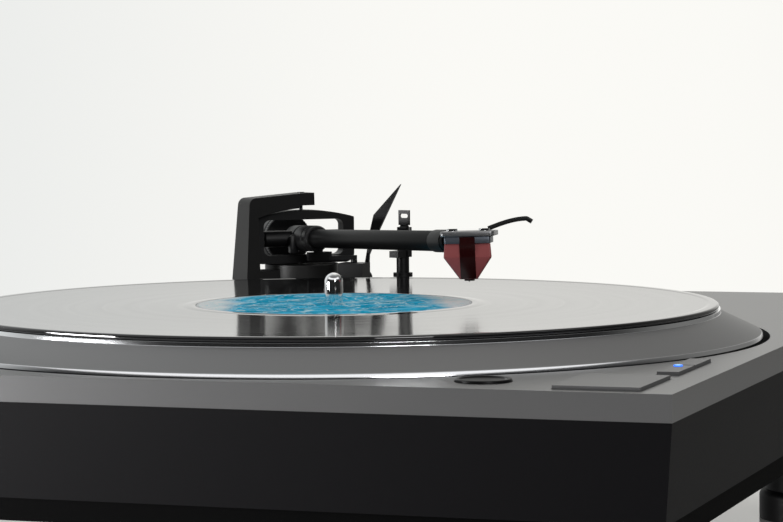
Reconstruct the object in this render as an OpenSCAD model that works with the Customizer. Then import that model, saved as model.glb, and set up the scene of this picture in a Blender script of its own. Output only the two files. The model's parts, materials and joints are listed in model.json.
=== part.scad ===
// Direct-drive turntable with a gimbal tonearm, shown with its arm raised over a record.
// Millimetres. +X right, +Y rear, +Z up; the origin is on the surface it stands on.

/* [Plinth] */
// Width of the top plate
plinth_w = 435; // [425:1:530]
// Depth of the top plate
plinth_d = 355; // [352:1:430]
// Thickness of the metal top plate
plate_h = 9.2; // [7:0.1:12]
// Height of the black body under the plate
body_h = 33.7; // [31:0.1:50]
// Inward taper of the body from plate to base
body_taper = 3; // [0:0.1:6]
// Wall of the body
body_wall = 4; // [3:0.1:6]
// Thickness of the body's deck, under the plate
deck_t = 3; // [2.4:0.1:4]
// Thickness of the base board
base_h = 8.2; // [5:0.1:10]
// Step of the base board inside the body
base_step = 1.5; // [0.5:0.1:4]

/* [Feet] */
// Height of a foot
foot_h = 42.3; // [30:0.5:60]
// Radius of the rubber pad of a foot
foot_r = 24; // [18:0.5:27]
// Radius of a foot's neck
neck_r = 21.5; // [12:0.5:22]
// Thickness of the rubber pad
pad_h = 13; // [8:0.5:20]
// Distance from the plinth's side to a foot's centre
foot_in_x = 70; // [32:1:90]
// Distance from the plinth's front or back to a foot's centre
foot_in_y = 26.5; // [27:1:60]

/* [Platter and record] */
// Distance from the plinth's left side to the spindle
spindle_in_x = 175.5; // [175:0.5:190]
// Distance from the plinth's front to the spindle
spindle_in_y = 180; // [176:0.5:200]
// Radius of the platter at its lower lip
lip_r = 168; // [160:0.5:168]
// Radius of the platter at its upper rim
rim_r = 151.5; // [146:0.5:153]
// Height of the polished upper rim band
rim_band = 1.5; // [1:0.1:3]
// Height of the polished lower lip band
lip_band = 1.5; // [1:0.1:3]
// Height of the cone between the two bands
cone_h = 7.6; // [5:0.1:12]
// Gap between the lip and the plate's round opening
well_gap = 2.5; // [1.5:0.1:4]
// Thickness of the mat
mat_t = 3; // [2:0.1:4]
// Radius of the record
record_r = 150.8; // [140:0.1:151]
// Thickness of the record
record_t = 2; // [1.6:0.1:2.4]
// Radius of the record's label
label_r = 54.5; // [45:0.5:56]
// Radius of the spindle
spindle_r = 3.6; // [3:0.05:3.8]
// Height of the spindle over the record
spindle_up = 12.1; // [9:0.1:16]

/* [Tonearm] */
// Distance from the spindle to the arm's vertical axis
pivot_dist = 203.5; // [200:0.5:215]
// Direction from the spindle to the arm's vertical axis
pivot_ang = 24.8; // [20:0.1:30]
// Height of the arm's horizontal axis over the record
pivot_up = 14.8; // [13:0.1:18]
// Distance from the vertical axis to the stylus
arm_len = 221.5; // [215:0.5:230]
// Offset angle of the headshell
offset_ang = 24; // [20:0.1:26]
// Direction in which the arm points at rest
arm_dir = 218.45; // [216:0.05:224]
// Angle by which the raised arm points up at rest
arm_lift = 2.45; // [1.5:0.05:4]
// Radius of the arm's tube
tube_r = 4.2; // [3.5:0.1:4.6]
// Radius of the arm's hub
hub_r = 6; // [5:0.1:6.2]
// Radius of the counterweight
weight_r = 11.3; // [9:0.1:12]
// Length of the counterweight
weight_len = 24; // [16:0.5:30]
// Diameter of the holes for small screws
screw_d = 2.6; // [2:0.1:3]

/* [Bearing frame] */
// Direction in which the C-shaped frame faces
frame_dir = 232; // [226:1:238]
// Depth of the frame, front to back
frame_d = 14.4; // [10:0.1:18]
// Distance from the vertical axis to the frame's inner side
frame_in = 26; // [25.5:0.1:32]
// Thickness of the frame's upright
frame_t = 7.5; // [5:0.1:10]
// Half width of the gimbal ring
ring_w = 24.6; // [22:0.1:25]
// Depth of the gimbal ring
ring_d = 8; // [6:0.1:10]
// Height of the ring's opening
ring_open = 16.5; // [15:0.1:20]
// Thickness of the ring's top bar
ring_top = 4.4; // [4:0.1:6]
// Thickness of the ring's bottom bar
ring_bottom = 3.7; // [3.5:0.1:6]
// Thickness of the ring's side bars
ring_side = 5.3; // [4:0.1:7]
// Gap between the ring and the frame, at top and bottom
frame_gap = 2.2; // [1.5:0.1:4]
// Radius of the four pivot pins
pin_r = 0.8; // [0.5:0.05:1]

/* [Controls] */
// Length of the start button, left to right
start_l = 40; // [30:0.5:44]
// Width of the start button, front to back
start_w = 29.5; // [20:0.5:30]
// Length of a speed button, left to right
speed_l = 23; // [14:0.5:24]
// Width of a speed button, front to back
speed_w = 7.5; // [6:0.1:10]
// Height of the buttons over the plate
button_up = 1.2; // [0.8:0.1:2.5]
// Travel of the buttons
button_travel = 0.8; // [0.4:0.05:1]
// Radius of the power dial
dial_r = 9.5; // [7:0.1:11]
// Height of the power dial over the plate
dial_up = 1; // [0.6:0.1:3]

/* [Fits] */
// Clearance around the buttons and the dial
button_gap = 0.4; // [0.3:0.05:0.8]
// Radial clearance of shafts and pins in their bores
run_fit = 0.05; // [0.02:0.01:0.1]
// Gap between pieces of different bodies
free_gap = 0.3; // [0.3:0.05:0.6]

/* [Hidden] */
$fn = 96;
eps = 0.01;

// heights, from the feet up
base_z = foot_h;
body_z = base_z + base_h;
plate_z = body_z + body_h;
plate_top = plate_z + plate_h;
lip_z = plate_top;                              // the lip's lower edge is level with the plate
cone_z = lip_z + lip_band;
band_z = cone_z + cone_h;
rim_z = band_z + rim_band;
record_top = rim_z + record_t;

// plan places
spindle_x = spindle_in_x - plinth_w / 2;
spindle_y = spindle_in_y - plinth_d / 2;
well_r = lip_r + well_gap;
pivot_x = spindle_x + pivot_dist * cos(pivot_ang);
pivot_y = spindle_y + pivot_dist * sin(pivot_ang);
pivot_z = record_top + pivot_up;

// platter
web_t = 5;                                      // disc under the mat
web_z = rim_z - mat_t - web_t;
skirt_z = plate_z + 2.8;                        // lower end of the skirt in the well
skirt_t = 8;
boss_r = 17;
boss_z = plate_z + 4;
label_t = 0.3;
groove_in = 60;                                 // radii between which the grooves run
groove_out = 146;
groove_down = 0.2;                              // grooves lie below label and edge
record_fit = 0.03;

// motor and bearing
flange_r = 18.5;
flange_t = 2.8;
housing_r = 9;
housing_z = base_z + base_h + 3;                // lower end of the bearing
bolt_ring = 14;
pad_t = 2.5;
coil_n = 9;
stator_in = 20.5;
stator_out = 41;
stator_z = plate_z + 3.4;
stator_h = 5;
magnet_in = 42;
magnet_t = 4;
cup_t = 2;
magnet_z = plate_z + 3.2;
board_t = 1.6;
boards_z = plate_z - deck_t - 8;                 // underside of every board
motor_board_r = 50.5;

// controls
switch_top = boards_z + board_t + 3;
keys_y = 12 - plinth_d / 2;                     // front edges of the three buttons
start_x = 6.5 - plinth_w / 2;                   // left side of the start button
speed_33_x = start_x + start_l + 11;
speed_45_x = speed_33_x + speed_l + 1.5;
dial_x = 23.5 - plinth_w / 2;
dial_y = 70 - plinth_d / 2;
cap_t = 3.4;
light_r = 1.6;

// tonearm
ring_z = pivot_z + 8.9 - ring_open;             // bottom of the ring's opening
ring_lo = ring_z - ring_bottom;
ring_hi = ring_z + ring_open + ring_top;
frame_lo = ring_lo - frame_gap - 0.5;           // top of the frame's lower arm
frame_hi = ring_hi + frame_gap;                 // underside of the frame's upper arm
frame_top_t = 5.8;
frame_out = frame_in + frame_t;
frame_end = 4.2;                                // length of the upper arm past the axis
frame_slit = 3.8;                               // width of the relief behind the upper pivot
frame_lean = 2.9;                               // the upright leans in at the top
frame_thin = 2.1;                               // and thins at front and back
frame_arch = 222;                               // radius of the top
ring_arch = 88;                                 // radius of the ring's top
turret_r = 17;                                  // round foot of the ring's lower pivot
base_t = 4;                                     // tonearm base on the plate
base_top = plate_top + base_t;
shaft_r = 3.9;                                  // cross shaft of the hub
shaft_half = ring_w - ring_side - 0.7;
lug_down = ring_open - 9.4;                     // lower end of the lugs beside the hub
lug_at = 4.6;                                   // lugs, in front of the cross shaft
lug_l = 4;
lug_r = 1.9;
hub_front = 25;
hub_back = 9;
stub_r = 3.6;
stub_len = 48;
weight_at = 20;                                 // from the axis back to the weight
dial_len = 4;
shell_l = 36;
shell_w = 21;
shell_t = 2;
shell_up = 2.1;                                 // headshell's underside over the tube's centre
shell_front = 9;
mount_t = 2.8;
cart_w = 19;
cart_top_z = shell_up - mount_t;
cart_h = 14;
cart_l = 24;
bolt_gap = 12.7;                                // standard distance of cartridge screws

// lift and rest
lift_in = 13;
lift_out = 17;
lift_from = 212;
lift_to = 257;
rod_at = 26;                                    // lift rod, straight in front of the axis
rod_r = 1.5;
lift_travel = 1.2;
lift_top = pivot_z + lift_in * tan(arm_lift) - hub_r / cos(arm_lift) - free_gap;
lift_low = lift_top - 3.8;
turret_top = min(ring_lo, lift_low - lift_travel) - 0.4;
block_w = 10.5;
block_d = 12;
block_top = lift_low - lift_travel - free_gap;
lever_x = pivot_x + block_w / 2 + 1.6;
lever_t = 1.6;
hinge_y = pivot_y - rod_at - 3.2;
hinge_z = block_top - 7;
hinge_r = 1.2;
rest_at = 54;                                   // arm rest, from the vertical axis
rest_ang = 260;
park_ang = arm_dir + 36;                        // direction of the arm when parked
rest_r = 4.4;
tube_park_z = pivot_z + rest_at * tan(arm_lift) - tube_r;
shelf_top = tube_park_z - 2.6;
clip_z = pivot_z + 5.2;
clip_y = tube_r + 2.1;                          // from the parked tube's centre to the clip's hinge
clip_h = 8.6;
clip_w = 5.9;
clip_t = 0.9;
knuckle_r = 1.45;

anti_x = pivot_x + 46;                          // anti-skating dial
anti_y = pivot_y - 9;
anti_r = 9;
anti_h = 6.5;

// rear connectors
panel_w = 150;
panel_h = 22;
panel_d = 14;                                   // depth of the recess in the rear
panel_t = 2;
panel_x = -60;
panel_z = body_z + 6;
panel_y = plinth_d / 2 - panel_d;
tray_d = panel_d + panel_t - body_taper - 0.5;  // depth of the recessed tray
jack_z = panel_z + panel_h / 2;
rca_r = 4.15;
rca_l = 9;
dc_bore = 2.8;

// frames in which the arm's pieces are drawn
module at_spindle() translate([spindle_x, spindle_y, 0]) children();
module at_pivot(dir) translate([pivot_x, pivot_y, 0]) rotate([0, 0, dir]) children();
module arm_frame() at_pivot(arm_dir) translate([0, 0, pivot_z]) rotate([0, -arm_lift, 0]) children();
module shell_frame() arm_frame() translate([arm_len, 0, 0]) rotate([0, 0, -offset_ang]) children();

module four_feet() {
    for (sx = [-1, 1], sy = [-1, 1])
        translate([sx * (plinth_w / 2 - foot_in_x), sy * (plinth_d / 2 - foot_in_y), 0]) children();
}

module tube_of(r, bore, h) {
    difference() {
        cylinder(r = r, h = h);
        translate([0, 0, -1]) cylinder(r = bore, h = h + 2);
    }
}

// rectangle with round corners, about its centre
module soft_rect(w, h, r) {
    square([w - 2 * r, h], center = true);
    square([w, h - 2 * r], center = true);
    for (sx = [-1, 1], sy = [-1, 1])
        translate([sx * (w / 2 - r), sy * (h / 2 - r)]) circle(r = r, $fn = 48);
}

// block whose sides lean in evenly from top to bottom
module tapered_block(w, d, h, inset) {
    hull() {
        translate([0, 0, h - eps / 2]) cube([w, d, eps], center = true);
        translate([0, 0, eps / 2]) cube([w - 2 * inset, d - 2 * inset, eps], center = true);
    }
}

// ---- plinth ----
module plinth_body() {
    cavity_z = body_h - deck_t;
    color([0.07, 0.07, 0.075]) difference() {
        translate([0, 0, body_z]) tapered_block(plinth_w, plinth_d, body_h, body_taper);
        translate([0, 0, body_z - 1 + cavity_z / 2])
            cube([plinth_w - 2 * (body_wall + body_taper), plinth_d - 2 * (body_wall + body_taper),
                  cavity_z + 2], center = true);
        at_spindle() translate([0, 0, body_z]) cylinder(r = housing_r + 0.5, h = body_h + 1);
        bearing_bolts() translate([0, 0, plate_z - deck_t - 1]) cylinder(d = screw_d, h = deck_t + 2);
        key_places() translate([0, 0, plate_z - deck_t - 1]) cube_key_hole();
        translate([dial_x, dial_y, plate_z - deck_t - 1]) cylinder(r = 3.4, h = deck_t + 2);
        rear_opening();
    }
}

module rear_opening() {
    translate([panel_x - panel_w / 2, panel_y - panel_t, panel_z])
        cube([panel_w, panel_d + 10, panel_h]);
}

module key_places() {
    translate([start_x + start_l / 2, keys_y + start_w / 2, 0]) children();
    for (x = [speed_33_x, speed_45_x]) translate([x + speed_l / 2, keys_y + speed_w / 2, 0]) children();
}

module cube_key_hole() {
    translate([0, 0, (deck_t + 2) / 2]) cube([6, 5, deck_t + 2], center = true);
}

module top_plate() {
    color([0.34, 0.34, 0.35]) difference() {
        translate([-plinth_w / 2, -plinth_d / 2, plate_z]) cube([plinth_w, plinth_d, plate_h]);
        at_spindle() translate([0, 0, plate_z - 1]) cylinder(r = well_r, h = plate_h + 2, $fn = 180);
        key_well(start_x, start_l, start_w);
        key_well(speed_33_x, speed_l, speed_w);
        key_well(speed_45_x, speed_l, speed_w);
        translate([dial_x, dial_y, plate_top - 5]) cylinder(r = dial_r + button_gap, h = 6);
        translate([anti_x, anti_y, plate_top - 3]) cylinder(r = 2, h = 4);
        translate([dial_x, dial_y, plate_z - 1]) cylinder(r = 3 + run_fit, h = plate_h);
        at_pivot(frame_dir) for (p = base_bolts)
            translate([p[0], p[1], plate_top - 6]) cylinder(d = screw_d, h = 7);
    }
}

module key_well(x, l, w) {
    translate([x - button_gap, keys_y - button_gap, plate_z - 1])
        cube([l + 2 * button_gap, w + 2 * button_gap, plate_h + 2]);
}

module base_board() {
    w = plinth_w - 2 * (body_taper + base_step);
    d = plinth_d - 2 * (body_taper + base_step);
    color([0.03, 0.03, 0.03]) difference() {
        translate([-w / 2, -d / 2, base_z]) cube([w, d, base_h]);
        four_feet() translate([0, 0, base_z - 1]) cylinder(d = screw_d, h = base_h + 2);
        base_screw_places() translate([0, 0, base_z - 1]) cylinder(r = 3.2, h = 3.5);
    }
}

module base_screw_places() {
    for (sx = [-1, 1], sy = [-1, 0, 1])
        translate([sx * (plinth_w / 2 - 22), sy * (plinth_d / 2 - 60), 0]) children();
}

module base_screws() {
    color([0.2, 0.2, 0.2]) base_screw_places() translate([0, 0, base_z + 0.2]) difference() {
        cylinder(r = 2.8, h = 2.3);
        translate([0, 0, -1]) cylinder(r = 1.3, h = 2, $fn = 6);
    }
}

module foot_stems() {
    color([0.04, 0.04, 0.04]) four_feet() difference() {
        translate([0, 0, pad_h]) cylinder(r = neck_r, h = base_z - pad_h);
        translate([0, 0, pad_h - 1]) cylinder(r = 3.4, h = 20);
        translate([0, 0, pad_h]) cylinder(d = screw_d, h = base_z);
    }
}

module foot_pads() {
    soft = 3;
    color([0.1, 0.1, 0.1]) four_feet() rotate_extrude($fn = 96) difference() {
        union() {
            square([foot_r, pad_h - soft]);
            square([foot_r - soft, pad_h]);
            translate([foot_r - soft, pad_h - soft]) circle(r = soft, $fn = 40);
        }
        translate([0, pad_h - 3]) square([5, 4]);
    }
}

module foot_screws() {
    color([0.5, 0.5, 0.5]) four_feet() {
        translate([0, 0, pad_h + 16]) cylinder(r = 3.2, h = 3);
        translate([0, 0, pad_h + 18]) cylinder(d = screw_d, h = base_z + base_h - pad_h - 18.5);
    }
}

// ---- bearing and motor ----
module bearing_bolts() {
    at_spindle() for (a = [30 : 120 : 270]) rotate(a) translate([bolt_ring, 0, 0]) children();
}

module bearing_housing() {
    color([0.72, 0.6, 0.3]) difference() {
        at_spindle() {
            translate([0, 0, housing_z]) cylinder(r = housing_r, h = plate_z - housing_z + 1);
            translate([0, 0, plate_z]) cylinder(r = flange_r, h = flange_t);
        }
        at_spindle() translate([0, 0, housing_z + pad_t]) cylinder(r = spindle_r + run_fit, h = 60);
        bearing_bolts() translate([0, 0, plate_z - 1]) cylinder(d = screw_d, h = 6);
    }
}

module bearing_screws() {
    color([0.6, 0.6, 0.6]) bearing_bolts() {
        translate([0, 0, plate_z - deck_t]) cylinder(d = screw_d, h = deck_t + flange_t);
        translate([0, 0, plate_z - deck_t - 2]) cylinder(r = 2.4, h = 2);
    }
}

module thrust_pad() {
    color([0.9, 0.9, 0.85]) at_spindle() translate([0, 0, housing_z + pad_t])
        cylinder(r = spindle_r - 0.4, h = 1.5);
}

module stator_core() {
    color([0.45, 0.45, 0.47]) at_spindle() translate([0, 0, stator_z]) {
        difference() {
            union() {
                cylinder(r = stator_in + 5, h = stator_h);
                for (k = [0 : coil_n - 1]) rotate(k * 360 / coil_n) {
                    translate([stator_in + 3, -2, 0]) cube([stator_out - stator_in - 5, 4, stator_h]);
                    pole_tip();
                }
            }
            translate([0, 0, -1]) cylinder(r = stator_in, h = stator_h + 2);
        }
        for (a = [0 : 120 : 240]) rotate(a) translate([stator_in + 2.4, 0, plate_z + board_t - stator_z])
            cylinder(r = 1.8, h = stator_z - plate_z - board_t + eps);
    }
}

module pole_tip() {
    intersection() {
        difference() {
            cylinder(r = stator_out, h = stator_h);
            translate([0, 0, -1]) cylinder(r = stator_out - 3, h = stator_h + 2);
        }
        translate([stator_in, -9, 0]) cube([40, 18, stator_h]);
    }
}

module stator_coils() {
    coil_l = 9;
    color([0.72, 0.38, 0.16]) at_spindle() for (k = [0 : coil_n - 1]) rotate(k * 360 / coil_n)
        translate([stator_in + 6.4 + coil_l / 2, 0, stator_z + stator_h / 2]) difference() {
            cube([coil_l, 7, stator_h + 2], center = true);
            cube([coil_l + 2, 4, stator_h], center = true);
        }
}

module motor_board() {
    color([0.05, 0.3, 0.16]) at_spindle() translate([0, 0, plate_z])
        tube_of(motor_board_r, flange_r + 0.8, board_t);
}

module main_board() {
    color([0.05, 0.3, 0.16]) {
        difference() {
            board_slab(-150, 20, 90, 120);
            board_screw_places() translate([0, 0, boards_z - 1]) cylinder(d = screw_d, h = 5);
        }
        for (p = [[-145, 60], [-120, 60], [-95, 60], [-130, 100]])
            translate([p[0], p[1], boards_z - 1 + eps]) cube([14, 14, 2], center = true);
    }
}

module board_slab(x, y, w, d) {
    translate([x, y, boards_z]) cube([w, d, board_t]);
}

module board_screw_places() {
    for (p = [[-145, 25], [-65, 25], [-145, 135], [-65, 135], [65, 65], [145, 65], [65, 135],
              [145, 135], [start_x + 28, keys_y + 23], [speed_45_x + 13, keys_y + 20],
              [dial_x + 5, dial_y + 9]])
        translate([p[0], p[1], 0]) children();
}

module power_board() {
    color([0.05, 0.3, 0.16]) {
        difference() {
            board_slab(60, 60, 90, 80);
            board_screw_places() translate([0, 0, boards_z - 1]) cylinder(d = screw_d, h = 5);
        }
        for (x = [80, 100]) translate([x, 100, boards_z - 11])
            cylinder(r = 6, h = 11 + eps);
    }
}

module board_screws() {
    color([0.6, 0.6, 0.6]) board_screw_places() {
        translate([0, 0, boards_z - 1.6]) cylinder(r = 2.4, h = 1.6);
        translate([0, 0, boards_z - eps]) cylinder(d = screw_d, h = plate_z - deck_t - boards_z + eps);
    }
}

// ---- rear connectors ----
module rear_panel() {
    color([0.06, 0.06, 0.06]) difference() {
        translate([panel_x - panel_w / 2, panel_y - panel_t, panel_z]) cube([panel_w, tray_d, panel_h]);
        translate([panel_x - panel_w / 2 + panel_t, panel_y, panel_z + panel_t])
            cube([panel_w - 2 * panel_t, tray_d, panel_h - 2 * panel_t]);
        for (x = [-40, -20]) rear_bore(x, 3);
        rear_bore(0, 2);
        rear_bore(50, 5);
        translate([panel_x + 22, panel_y - panel_t / 2, jack_z]) cube([9, panel_t + 2, 3.4], center = true);
    }
}

module rear_bore(x, r) {
    translate([panel_x + x, panel_y + 1, jack_z]) rotate([90, 0, 0]) cylinder(r = r, h = panel_t + 2);
}

module rca_sockets() {
    color([0.8, 0.66, 0.3]) for (x = [-40, -20]) translate([panel_x + x, panel_y, jack_z])
        rotate([-90, 0, 0]) difference() {
            union() {
                cylinder(r = 6, h = 1.5);
                cylinder(r = rca_r, h = rca_l);
                translate([0, 0, -6]) cylinder(r = 3, h = 6 + eps);
            }
            translate([0, 0, 2]) cylinder(r = 1.7, h = rca_l);
        }
}

module ground_terminal() {
    color([0.75, 0.75, 0.75]) translate([panel_x, panel_y, jack_z]) rotate([-90, 0, 0]) {
        translate([0, 0, -6]) cylinder(r = 2, h = 6 + eps);
        cylinder(r = 3, h = 3);
        translate([0, 0, 3 - eps]) cylinder(r = 4.5, h = 5, $fn = 24);
    }
}

module dc_inlet() {
    color([0.05, 0.05, 0.05]) translate([panel_x + 50, panel_y, jack_z]) rotate([-90, 0, 0]) difference() {
        union() {
            translate([0, 0, -10]) cylinder(r = 5, h = 10 + eps);
            cylinder(r = 6.5, h = 2);
        }
        translate([0, 0, -8]) cylinder(r = dc_bore, h = 12);
    }
}

module phono_switch() {
    color([0.7, 0.7, 0.7]) translate([panel_x + 22 - 1.7, panel_y - panel_t - 2, jack_z]) {
        translate([-1.6, 0, -1.4]) cube([3.2, panel_t + 4.5, 2.8]);
    }
}

// ---- platter group ----
module spindle() {
    top = record_top + spindle_up;
    low = housing_z + pad_t + 1.5 + 0.1;
    color([0.85, 0.85, 0.87]) at_spindle() rotate_extrude() {
        translate([0, low]) square([spindle_r, top - spindle_r - low]);
        intersection() {
            translate([0, top - spindle_r]) circle(r = spindle_r, $fn = 64);
            translate([0, top - spindle_r]) square([spindle_r, spindle_r]);
        }
    }
}

module platter() {
    mat_z = rim_z - mat_t;
    color([0.5, 0.5, 0.51]) at_spindle() rotate_extrude($fn = 180) difference() {
        union() {
            polygon([[spindle_r, web_z], [rim_r, web_z], [lip_r - 3, skirt_z], [lip_r - 3, lip_z],
                     [lip_r, lip_z], [lip_r - 0.6, cone_z], [rim_r, band_z], [rim_r, rim_z],
                     [spindle_r, rim_z]]);
            translate([spindle_r, boss_z]) square([boss_r - spindle_r, web_z - boss_z + eps]);
            translate([lip_r - 3 - skirt_t, skirt_z]) square([skirt_t, lip_z - skirt_z]);
        }
        polygon([[54, skirt_z - 1], [lip_r - 3 - skirt_t, skirt_z - 1], [lip_r - 3 - skirt_t, web_z],
                 [54, web_z]]);
        translate([0, mat_z]) square([record_r - 2.4, mat_t + 1]);
    }
}

module rotor_cup() {
    r = magnet_in + magnet_t;
    color([0.5, 0.5, 0.52]) at_spindle() translate([0, 0, magnet_z]) tube_of(r + cup_t, r, web_z - magnet_z);
}

module rotor_magnet() {
    color([0.2, 0.2, 0.22]) at_spindle() translate([0, 0, magnet_z])
        tube_of(magnet_in + magnet_t, magnet_in, web_z - magnet_z);
}

module platter_mat() {
    color([0.05, 0.05, 0.05]) at_spindle() translate([0, 0, rim_z - mat_t])
        tube_of(record_r - 2.6, spindle_r + 0.3, mat_t);
}

module record() {
    color([0.03, 0.03, 0.035]) at_spindle() rotate_extrude($fn = 180) {
        bore = spindle_r + record_fit;
        polygon([[bore, rim_z], [record_r - 0.5, rim_z], [record_r, rim_z + 0.5],
                 [record_r, record_top - 0.5], [record_r - 0.5, record_top], [groove_out + 1, record_top],
                 [groove_out, record_top - groove_down], [groove_in, record_top - groove_down],
                 [label_r, record_top], [label_r, record_top - label_t], [bore, record_top - label_t]]);
    }
}

module record_label() {
    color([0.2, 0.62, 0.82]) at_spindle() translate([0, 0, record_top - label_t])
        tube_of(label_r, spindle_r + record_fit, label_t);
}

// ---- controls ----
module key_cap(x, l, w, hole) {
    difference() {
        translate([x, keys_y, plate_top + button_up - cap_t]) cube([l, w, cap_t]);
        if (hole > 0) translate([x + l - 3.4, keys_y + w - 2.6, plate_top]) cylinder(r = hole, h = 6);
    }
    translate([x + l / 2 - 2, keys_y + w / 2 - 1.5, switch_top + button_travel + 0.1])
        cube([4, 3, plate_top + button_up - cap_t - switch_top - button_travel]);
}

module start_button() {
    color([0.36, 0.36, 0.37]) key_cap(start_x, start_l, start_w, 0);
}

module speed_button_33() {
    color([0.36, 0.36, 0.37]) key_cap(speed_33_x, speed_l, speed_w, light_r);
}

module speed_button_45() {
    color([0.36, 0.36, 0.37]) key_cap(speed_45_x, speed_l, speed_w, 0);
}

module speed_light() {
    color([0.2, 0.5, 1]) translate([speed_33_x + speed_l - 3.4, keys_y + speed_w - 2.6, plate_top])
        cylinder(r = light_r, h = button_up + 0.4);
}

module power_dial() {
    color([0.05, 0.05, 0.055]) translate([dial_x, dial_y, 0]) difference() {
        union() {
            translate([0, 0, plate_top - 4]) cylinder(r = dial_r, h = 4 + dial_up);
            translate([0, 0, plate_z - deck_t - 2]) cylinder(r = 3, h = plate_h + deck_t);
        }
        translate([0, 0, plate_top + dial_up - 0.8]) cylinder(r = dial_r - 2, h = 2);
    }
}

module key_switches() {
    color([0.15, 0.15, 0.15]) {
        key_places() translate([0, 0, switch_top - 1.5]) cube([6, 6, 3], center = true);
        translate([dial_x, dial_y, boards_z + board_t]) cylinder(r = 6, h = 4);
    }
}

module key_board() {
    color([0.05, 0.3, 0.16]) difference() {
        translate([start_x + 8, keys_y - 0.5, boards_z]) {
            cube([speed_45_x + speed_l - start_x - 10, 26, board_t]);
            cube([22, dial_y - keys_y + 12, board_t]);
        }
        board_screw_places() translate([0, 0, boards_z - 1]) cylinder(d = screw_d, h = 5);
    }
}

// ---- tonearm base and bearing frame ----
base_bolts = [[0, -29], [0, 25], [-11, 6]];
base_front = 17;

module tonearm_base() {
    color([0.05, 0.05, 0.055]) at_pivot(frame_dir) difference() {
        translate([0, -(frame_out + 1 - 30) / 2, plate_top]) linear_extrude(height = base_t)
            soft_rect(2 * base_front, frame_out + 31, 5);
        for (p = base_bolts) translate([p[0], p[1], plate_top - 1]) cylinder(d = screw_d, h = base_t + 2);
        rotate([0, 0, -frame_dir]) translate([-block_w / 2 - 0.2, -rod_at - block_d / 2 - 0.2, plate_top - 1])
            cube([block_w + 0.4, block_d + 0.4, base_t + 2]);
    }
}

module base_plate_screws() {
    color([0.4, 0.4, 0.4]) at_pivot(frame_dir) {
        for (p = base_bolts) translate([p[0], p[1], plate_top - 6]) cylinder(d = screw_d, h = 6 + base_t);
    }
}

// side view of the frame: rounded top corner, arched top, opening that follows the ring's arch
module frame_profile() {
    top = frame_hi + frame_top_t;
    arm_low = 14;                               // length of the lower arm past the axis
    corner = 3.5;
    corner_y = corner + frame_lean - frame_out;
    corner_z = top - frame_arch + sqrt(pow(frame_arch - corner, 2) - pow(corner_y, 2));
    difference() {
        intersection() {
            hull() {
                translate([-frame_out, base_top]) square([frame_out + arm_low, 1]);
                translate([corner_y, corner_z]) circle(r = corner, $fn = 48);
                translate([0, top - 1]) square([arm_low, 1]);
            }
            translate([0, top - frame_arch]) circle(r = frame_arch, $fn = 360);
        }
        intersection() {
            translate([-frame_in, frame_lo]) square([frame_in + 80, 80]);
            translate([0, ring_hi - ring_arch]) circle(r = ring_arch + 1, $fn = 240);
        }
        translate([-frame_slit, frame_lo]) square([frame_slit + 80, frame_hi - frame_lo]);
        translate([frame_end, frame_lo]) square([80, 80]);
    }
}

module bearing_frame() {
    half = frame_d / 2;
    high = frame_hi + frame_top_t + 1;
    color([0.06, 0.06, 0.065]) at_pivot(frame_dir) difference() {
        union() {
            intersection() {
                rotate([90, 0, 90]) translate([0, 0, -half]) linear_extrude(height = frame_d) frame_profile();
                rotate([90, 0, 0]) translate([0, 0, -50]) linear_extrude(height = 100)
                    polygon([[-half, base_top - 1], [half, base_top - 1], [half - frame_thin, high],
                             [frame_thin - half, high]]);
            }
            translate([0, 0, base_top]) cylinder(r = turret_r, h = turret_top - base_top);
        }
        translate([0, 0, base_top - 1]) cylinder(r = 1.6, h = 80);
        for (p = base_bolts) translate([p[0], p[1], base_top - 1]) cylinder(d = screw_d, h = 4);
    }
}

module upper_pivot_screw() {
    color([0.3, 0.3, 0.32]) at_pivot(frame_dir) {
        translate([0, 0, frame_hi]) cylinder(r = 1.6, h = frame_top_t + 0.3);
        translate([0, 0, ring_hi - 2]) cylinder(r = pin_r, h = frame_hi - ring_hi + 2 + eps);
    }
}

module lower_pivot_screw() {
    color([0.3, 0.3, 0.32]) at_pivot(frame_dir) {
        translate([0, 0, base_top]) cylinder(r = 1.6, h = turret_top - base_top);
        translate([0, 0, turret_top - 1]) cylinder(r = pin_r, h = ring_lo - turret_top + 2.8);
    }
}

module ring_profile() {
    h = ring_hi - ring_lo;
    intersection() {
        difference() {
            soft_rect(2 * ring_w, h, 4.5);
            translate([0, (ring_bottom - ring_top) / 2])
                soft_rect(2 * (ring_w - ring_side), ring_open, 3);
        }
        translate([0, h / 2 - ring_arch]) circle(r = ring_arch, $fn = 240);
    }
}

module gimbal_ring() {
    color([0.06, 0.06, 0.065]) at_pivot(arm_dir) difference() {
        rotate([90, 0, 90]) translate([0, (ring_lo + ring_hi) / 2, -ring_d / 2])
            linear_extrude(height = ring_d) ring_profile();
        translate([0, 0, ring_hi - 2.5]) cylinder(r = pin_r + run_fit, h = 4);
        translate([0, 0, ring_lo - 1]) cylinder(r = pin_r + run_fit, h = 3.2);
        translate([0, 40, pivot_z]) rotate([90, 0, 0]) cylinder(r = 1.5, h = 80);
    }
}

module ring_pivot_screws() {
    color([0.5, 0.5, 0.52]) at_pivot(arm_dir) for (s = [-1, 1]) translate([0, 0, pivot_z])
        rotate([-90 * s, 0, 0]) {
            translate([0, 0, ring_w - ring_side]) cylinder(r = 1.5, h = ring_side - 0.6);
            translate([0, 0, shaft_half - 2]) cylinder(r = pin_r, h = ring_w - ring_side - shaft_half + 2.1);
        }
}

// ---- arm ----
module along_arm() rotate([0, 90, 0]) children();

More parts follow.
